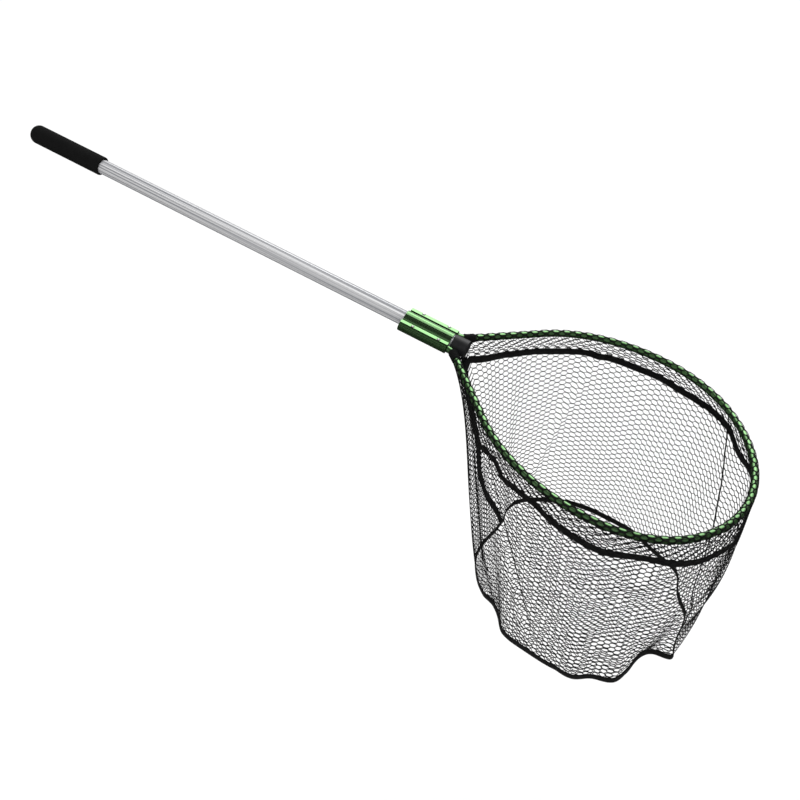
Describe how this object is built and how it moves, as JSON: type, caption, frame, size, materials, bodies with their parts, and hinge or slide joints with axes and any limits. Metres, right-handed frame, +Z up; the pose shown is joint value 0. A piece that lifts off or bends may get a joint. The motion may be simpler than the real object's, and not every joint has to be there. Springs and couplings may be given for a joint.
{
  "type": "landing net",
  "caption": "Landing net with a teardrop hoop, a taped hexagonal-mesh bag and a foam-gripped handle that slides through a locking yoke.",
  "frame": {"origin": "on the handle's axis at the middle of the grip", "axes": "+Z up as the net is held; +X level, towards the hoop; the handle slopes down 15 degrees towards +X and the bag hangs along -Z"},
  "size_m": [1.4831, 0.5126, 0.7865],
  "materials": {
    "bare_aluminium": "satin drawn aluminium",
    "green_anodised": "green anodised",
    "steel": "plain",
    "foam_grip": "closed-cell foam",
    "black_plastic": "moulded",
    "black_tape": "woven binding tape",
    "black_mesh": "knotless hexagonal mesh"
  },
  "bodies": {
    "handle": {"handle_tube": "bare_aluminium", "grip": "foam_grip", "tube_plug": "black_plastic", "stop_cap": "black_plastic", "lock_spring": "steel"},
    "frame": {"yoke": "green_anodised", "hoop": "green_anodised", "hoop_rivets": "steel", "tie_left": "black_tape", "tie_right": "black_tape", "net_hem": "black_mesh", "net_side_left": "black_mesh", "net_side_right": "black_mesh", "net_bottom": "black_mesh", "upper_tape": "black_tape", "lower_tape": "black_tape", "yoke_seam_tape": "black_tape", "tip_seam": "black_tape"},
    "button": {"lock_button": "steel"}
  },
  "joints": [
    {"name": "frame_slide", "type": "slide", "parent": "handle", "child": "frame", "axis": [-0.9659, 0, 0.2588], "range_m": [0, 0.515]},
    {"name": "button_press", "type": "slide", "parent": "handle", "child": "button", "axis": [0.2588, 0, 0.9659], "range_m": [0, 0.004], "stiffness_N_per_m": 400, "springref_m": -0.004, "deforming": ["lock_spring"]}
  ]
}
